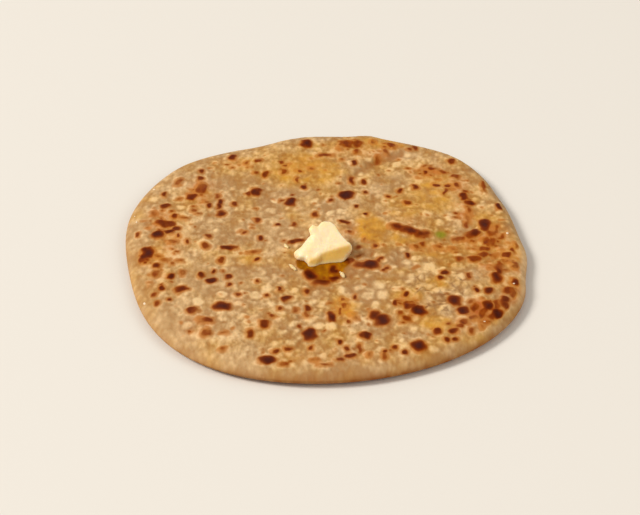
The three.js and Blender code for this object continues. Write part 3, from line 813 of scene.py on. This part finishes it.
BUTTER_CENTRE = (-0.5, -8.5, THICKNESS + 4.5)
BUTTER_SHARPNESS = 22
BUTTER_CUTS = (  # heading, lift, out
    (266, 61, 2.8), (279, 36, 4.6), (215, 58, 5.0), (287, 5, 9.5), (236, 12, 11.3), (217, 8, 11.0),
    (182, 5, 13.7), (141, 15, 8.5), (82, 10, 10.4), (33, 15, 9.4), (345, 10, 13.0), (336, -16, 12.0),
    (0, -90, 4.2),
)
GOLDEN_SHADE_CUT = 1  # the side that faces the front, tinted as melting butter and darkened with painted shade
BUTTER_NUBS = (  # heading, lift, out, spread in degrees: blunt, with flat tops
    (131, 30, 2.8, 13), (243, -12, 2.0, 13), (199, -8, 2.2, 14), (350, 2, 0.9, 13),
)
BUTTER_WAVES = ((4.2, 0.45), (1.3, 0.16))  # size and height of its unevenness
BUTTER_TOP = 20.0  # the peak of the knob
BUTTER_SINKS = 0.35  # how far the melting foot stands in the dough


def direction(heading, lift):
    level = math.cos(math.radians(lift))
    turn = math.radians(heading)
    return np.array([level * math.cos(turn), level * math.sin(turn), math.sin(math.radians(lift))])


def build_butter():
    shape = bmesh.new()
    bmesh.ops.create_icosphere(shape, subdivisions=7, radius=1)
    away = np.array([v.co for v in shape.verts])
    away /= np.linalg.norm(away, axis=1)[:, None]
    cuts = np.array([
        (np.maximum(0, away @ direction(heading, lift)) / out) ** BUTTER_SHARPNESS
        for heading, lift, out in BUTTER_CUTS
    ])
    total = cuts.sum(axis=0)
    golden_shade = cuts[GOLDEN_SHADE_CUT] / total
    reach = total ** (-1 / BUTTER_SHARPNESS)
    for heading, lift, out, spread in BUTTER_NUBS:
        turned = np.arccos(np.clip(away @ direction(heading, lift), -1, 1))
        reach += out * np.exp(-((turned / math.radians(spread)) ** 4))
    place = np.array(BUTTER_CENTRE) + away * reach[:, None]
    uneven = sum(
        height * np.array([noise.noise(Vector(p) / size) for p in place]) for size, height in BUTTER_WAVES
    )
    place += away * (uneven - 0.3)[:, None]
    place[:, 2] -= 0.8 * np.maximum(0, place[:, 2] - BUTTER_TOP + 0.6)
    above = place[:, 2] - top_at(place[:, 0], place[:, 1])
    foot = smoothstep(3.2, 0.0, above)
    place[:, :2] += (place[:, :2] - np.array(BUTTER_CENTRE[:2])) * (0.05 * foot**2)[:, None]
    place[:, 2] = np.maximum(place[:, 2], top_at(place[:, 0], place[:, 1]) - BUTTER_SINKS)
    golden_shade *= smoothstep(0.4, 2.4, above)
    place -= np.array([*MIDDLE, 0])
    faces = [tuple(v.index for v in f.verts) for f in shape.faces]
    shape.free()
    return solid_piece("butter_knob", place * MM, faces, {"foot": foot, "golden_shade": golden_shade})


def build_shreds():
    """The middle lines of the butter's flakes, each as one edge."""
    ends = np.array(SHREDS).reshape(-1, 2)
    points = np.column_stack([ends - MIDDLE, top_at(*ends.T) + SHREDS_LIE]) * MM
    mesh = bpy.data.meshes.new("butter_shreds")
    mesh.from_pydata(points.tolist(), [(i, i + 1) for i in range(0, len(points), 2)], [])
    mesh.attributes.new("foot", "FLOAT", "POINT").data.foreach_set("value", [SHREDS_GOLDEN] * len(points))
    return place_object("butter_shreds", mesh)


# ---- Materials ----


def new_material(name):
    material = bpy.data.materials.new(name)
    material.use_nodes = True
    material.node_tree.nodes.clear()
    return material, material.node_tree


def finished(material, surface):
    """Ends a material's nodes with one shader that has this surface."""
    shader = node(material.node_tree, "ShaderNodeBsdfPrincipled", surface)
    node(material.node_tree, "ShaderNodeOutputMaterial", {"Surface": shader})
    return material


def read_fields(tree, *names):
    """What the mesh holds under each name."""
    return {name: node(tree, "ShaderNodeAttribute", out="Fac", attribute_name=name) for name in names}


def mix(tree, share, first, second, kind="RGBA", **settings):
    """The first value where the share is 0, and the second where it is 1."""
    return node(tree, "ShaderNodeMix", (share, first, second), data_type=kind, **settings)


BUTTERY_DOUGH = (  # from char through toast and plain dough to the palest blister, where butter soaked in
    (0.0, "#401206"), (0.12, "#6e2804"), (0.24, "#8e4008"), (0.36, "#9e5616"), (0.48, "#a8702e"),
    (0.6, "#b68342"), (0.72, "#c4944f"), (0.84, "#d5a461"), (1.0, "#e5b877"),
)
FLOURY_DOUGH = (  # the same, where it stayed dry
    (0.0, "#44180e"), (0.12, "#6c2c0e"), (0.24, "#8c4418"), (0.36, "#9d5e2a"), (0.48, "#a87848"),
    (0.6, "#b58c5d"), (0.72, "#c49c6c"), (0.84, "#d5ad7b"), (1.0, "#e7c18d"),
)
PLAIN_TONE = 0.684  # of unmarked dough, as a place on those two ramps
DULL_TONE = 0.64
RIM_TONE = 0.735
BLOTCHES = ((14, 0.25), (6, 0.52), (3, 0.6), (1.5, 0.55), (0.75, 0.32))  # size and strength
CRACK_SPACING = 4.0
CRACK_BEND = 2.2  # how far off their straight lines the cracks wander
IRON_MARKS = (  # kind, how uneven its edge is, where it starts and is full, darkest and lightest tone
    ("toasted", 1.0, 1.3, -1.0, 0.16, 0.4),
    ("dark", 0.8, 0.8, -1.2, 0.05, 0.18),
    ("charred", 0.5, 0.0, -2.6, 0.0, 0.05),
)


def griddled_dough():
    """Wholemeal dough baked on a dry griddle, then brushed with butter. Bran and uneven heat mottle it,
    it is brown where it touched the iron, pale where it bubbled, and yellower where butter soaked in."""
    material, tree = new_material("griddled wholemeal dough")
    place = node(tree, "ShaderNodeTexCoord", out="Object")
    names = "relief pale oil browned damp rim melt herb cracked singed lighter flourier"
    field = read_fields(tree, *names.split(), *SPOT_KINDS)
    rolled, pebbles = rolled_pebbles(tree, place, 1 / (PEBBLE_SIZE * MM))
    blotch = {}
    tone = PLAIN_TONE - sum(weight for _, weight in BLOTCHES) / 2
    for size, weight in BLOTCHES:
        blotch[size] = node(tree, NOISE, (rolled, size, 0.6 / (size * MM), 1.0), noise_dimensions="4D")
        tone = add_up(tree, tone, (blotch[size], weight))
    tone = add_up(tree, tone, (node(tree, RANGE, (pebbles, 0.15, 0.7, 0.1, -0.12)), 1.0))
    # Where less butter soaked in, the dough is dull and even.
    dull = calc(tree, (field["damp"], 0.45), "MULTIPLY", clamp=True)
    tone = mix(tree, dull, tone, DULL_TONE, "FLOAT")
    # How far outside each kind of spot a point lies, with uneven edges.
    uneven = add_up(tree, -0.63, (blotch[1.5], 0.8), (blotch[3], 0.7))
    away = {kind: add_up(tree, field[kind], (uneven, share)) for kind, share, *_ in IRON_MARKS}
    # A charred spot has a dark edge and a toasted one round that.
    away["dark"] = calc(tree, (away["charred"], away["dark"]), "MINIMUM")
    nearest = away["toasted"] = calc(tree, (away["dark"], away["toasted"]), "MINIMUM")
    # Dry rings that the spots leave round them, broken up.
    ring = node(tree, RANGE, (nearest, 0.7, 1.5))
    ring = calc(tree, (ring, node(tree, RANGE, (nearest, 2.9, 1.5))), "MULTIPLY")
    ring = calc(tree, (ring, node(tree, RANGE, (blotch[3], 0.35, 0.6))), "MULTIPLY")
    # Raised dough is painted lighter, and hollows and the crease darker, as painted light and shade.
    parts = (
        (ring, 0.17), (field["relief"], 0.12), (field["pale"], 0.46), (field["damp"], -0.08),
        (field["cracked"], 0.06),
    )
    stretched = calc(tree, (field["rim"], 0.45), "MULTIPLY")
    tone = mix(tree, stretched, add_up(tree, tone, *parts), RIM_TONE, "FLOAT")
    # Broad patches, some of them painted light and shade on the rim and in the crease, and the rim's foot
    # painted darker with browning and painted shade.
    tone = add_up(tree, tone, (field["lighter"], 1.0), (field["singed"], -0.1))
    # Between its spots the dough is nowhere much darker than its own colour.
    tone = calc(tree, (tone, add_up(tree, 0.335, (tone, 0.4))), "MAXIMUM", clamp=True)
    for kind, _, start, full, darkest, lightest in IRON_MARKS:
        share = node(tree, RANGE, (away[kind], start, full), interpolation_type="SMOOTHSTEP")
        core = node(tree, RANGE, (blotch[3], 0.35, 0.65, darkest, lightest))
        tone = mix(tree, share, tone, core, "FLOAT")
    # From buttery to floury.
    cast = node(tree, NOISE, (place, 5.0, 0.6 / (8 * MM), 2.0), noise_dimensions="4D")
    parts = (
        (cast, 3.0), (field["pale"], 0.05), (field["damp"], 0.35), (field["oil"], -0.5),
        (field["browned"], -0.35), (field["rim"], 0.25), (field["flourier"], 1.0),
    )
    warm = node(tree, "ShaderNodeValToRGB", (tone,), stops=BUTTERY_DOUGH)
    dry = node(tree, "ShaderNodeValToRGB", (tone,), stops=FLOURY_DOUGH)
    colour = mix(tree, add_up(tree, -1.05, *parts), warm, dry)
    # Tints over it, each broken up by blotches: butter, heat, a scorched halo round every spot, browning with
    # painted shade at the rim's foot, and cracks.
    halo = node(tree, RANGE, (nearest, 1.9, 0.7))
    plain = node(tree, RANGE, (tone, 0.3, 0.5))
    bent = node(tree, NOISE, {"Vector": place, "Scale": 0.6 / (2.5 * MM)}, out="Color")
    bent = node(tree, VECTOR, (bent, (CRACK_BEND * MM,) * 3, rolled), operation="MULTIPLY_ADD")
    cell = {"Vector": bent, "Scale": 1 / (CRACK_SPACING * MM)}
    cell = node(tree, "ShaderNodeTexVoronoi", cell, feature="DISTANCE_TO_EDGE")
    crack = calc(tree, (node(tree, RANGE, (cell, 0.22, 0.0)), field["cracked"]), "MULTIPLY")
    tints = (
        (field["oil"], 0.65, "#d29430"), (field["browned"], 0.35, "#ae5228"), (halo, 0.6, "#c07430"),
        (field["singed"], 1.2, "#935422"), (crack, 0.75, "#744422"),
    )
    for share, weight, tint in tints:
        broken = node(tree, RANGE, (blotch[3], 0.35, 0.6, 0.3 * weight, weight))
        share = calc(tree, (share, broken), "MULTIPLY", clamp=True)
        share = calc(tree, (share, plain), "MULTIPLY")
        colour = mix(tree, share, colour, tint)
    ash = node(tree, RANGE, (away["charred"], -1.4, -2.8, 0.0, 0.65))
    colour = mix(tree, ash, colour, "#4a221e")
    # The herb under the skin, and melted butter on it.
    leaf = mix(tree, node(tree, RANGE, (field["herb"], 0.6, 1.0)), "#a67c30", "#86801a")
    colour = mix(tree, calc(tree, (field["herb"], 0.9), "MULTIPLY"), colour, leaf)
    flooded = node(tree, RANGE, (field["melt"], 0.3, 0.65))
    amber = mix(tree, node(tree, RANGE, (blotch[3], 0.36, 0.62)), "#f2c818", "#b88c0a")
    colour = mix(tree, flooded, colour, amber, blend_type="MULTIPLY")
    rough = node(tree, RANGE, (blotch[3], 0.3, 0.7, 0.5, 0.66))
    rough = add_up(tree, rough, (field["oil"], -0.12))
    gloss = calc(tree, (flooded, 0.02), "MULTIPLY")
    gloss = calc(tree, (field["oil"], 0.06, gloss), "MULTIPLY_ADD", clamp=True)
    bumps = add_up(tree, blotch[1.5], (blotch[0.75], 0.5))
    dry_share = node(tree, RANGE, (field["melt"], 0.2, 0.5, 1.0, 0.0))
    bump = node(tree, "ShaderNodeBump", {"Strength": dry_share, "Distance": 0.3 * MM, "Height": bumps})
    return finished(material, {
        "Base Color": colour, "Roughness": rough, "Normal": bump, "IOR": 1.4, "Specular IOR Level": 0.05,
        "Coat Weight": gloss, "Coat Roughness": 0.12, "Coat IOR": 1.46,
        "Subsurface Weight": 0.06, "Subsurface Radius": (1.0, 0.5, 0.25), "Subsurface Scale": 2.0 * MM,
    })


def soft_butter():
    """Butter at room temperature: waxy cream with light passing into it, gold where it melts, and darker gold
    on its front side with painted shade.
    """
    material, tree = new_material("soft butter")
    place = node(tree, "ShaderNodeTexCoord", out="Object")
    cloud = node(tree, NOISE, {"Vector": place, "Scale": 0.6 / (3.5 * MM), "Detail": 3.0})
    colour = mix(tree, node(tree, RANGE, (cloud, 0.3, 0.7)), "#fbe4bc", "#fbdca6")
    field = read_fields(tree, "golden_shade", "foot")
    # The front side is tinted deep gold, melting butter and painted shade together; the foot is tinted as
    # melting butter.
    for name, weight, tint in (("golden_shade", 0.88, "#dcac3e"), ("foot", 0.7, "#d0a464")):
        colour = mix(tree, calc(tree, (field[name], weight), "MULTIPLY"), colour, tint)
    fine = node(tree, NOISE, {"Vector": place, "Scale": 0.6 / (0.8 * MM), "Detail": 3.0})
    bump = node(tree, "ShaderNodeBump", {"Strength": 0.4, "Distance": 0.15 * MM, "Height": fine})
    rough = node(tree, RANGE, (field["foot"], 0.2, 1.0, 0.42, 0.15))
    return finished(material, {
        "Base Color": colour, "Roughness": rough, "Normal": bump, "IOR": 1.46, "Specular IOR Level": 0.4,
        "Subsurface Weight": 0.5, "Subsurface Radius": (1.0, 0.7, 0.3), "Subsurface Scale": 3.0 * MM,
    })


def dry_crumb():
    """A crumb of dry dough or a grain of salt: chalky cream, a little shiny."""
    material, _ = new_material("dry crumb")
    return finished(material, {"Base Color": "#f2d9b8", "Roughness": 0.4, "Specular IOR Level": 0.5})


def cream_paper():
    """A plain matt studio sweep in warm white."""
    material, _ = new_material("cream studio paper")
    return finished(material, {"Base Color": "#e6dfd6", "Roughness": 0.9, "Specular IOR Level": 0.1})


# ---- Stage ----

FLOOR_HALF = 6.0
FLOOR_LEVEL = -0.2 * MM


def build_stage():
    corners = [(x * FLOOR_HALF, y * FLOOR_HALF, FLOOR_LEVEL) for x, y in ((-1, -1), (1, -1), (1, 1), (-1, 1))]
    mesh = bpy.data.meshes.new("floor")
    mesh.from_pydata(corners, [], [(0, 1, 2, 3)])
    floor = place_object("floor", mesh)
    mesh.materials.append(cream_paper())
    floor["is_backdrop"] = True


def area_light(name, heading, lift, distance, size, power, colour):
    """A round light in metres and watts, on the given heading and lift in degrees, aimed at the bread."""
    data = bpy.data.lights.new(name, "AREA")
    data.shape = "DISK"
    data.size = size
    data.energy = power
    data.color = linear(colour)[:3]
    light = place_object(name, data)
    towards = Vector(direction(heading, lift))
    light.location = towards * distance
    light.rotation_euler = towards.to_track_quat("Z", "Y").to_euler()


def light_studio():
    area_light("window", 185, 42, 5.2, 1.8, 216, "#fffdf8")
    area_light("fill", -25, 35, 3.0, 1.6, 16, "#fffaf0")
    world = bpy.data.worlds.new("studio")
    world.use_nodes = True
    world.node_tree.nodes["Background"].inputs["Color"].default_value = linear("#fffefa")
    world.node_tree.nodes["Background"].inputs["Strength"].default_value = 0.5
    bpy.context.scene.world = world
    bpy.context.scene.view_settings.view_transform = "Standard"


# ---- Putting it together ----

place_camera()
bread = build_bread()
grow(bread, dough_skin_tree(), Finish=griddled_dough())
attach(bread, "root")
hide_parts("paratha")

crumbs = place_object("crumbs", bread.data.copy())
grow(crumbs, crumbs_tree(), Finish=dry_crumb())
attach(crumbs, "root")

butter_finish = soft_butter()
butter = build_butter()
butter.data.materials.append(butter_finish)
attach(butter, "root")
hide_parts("butter")

shreds = build_shreds()
grow(shreds, butter_shreds_tree(), Finish=butter_finish)
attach(shreds, "root")

build_stage()
light_studio()


def corners(box):
    return [[float(v) for v in corner] for corner in box]


{"cad": corners(cad_box), "visual": corners(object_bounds())}
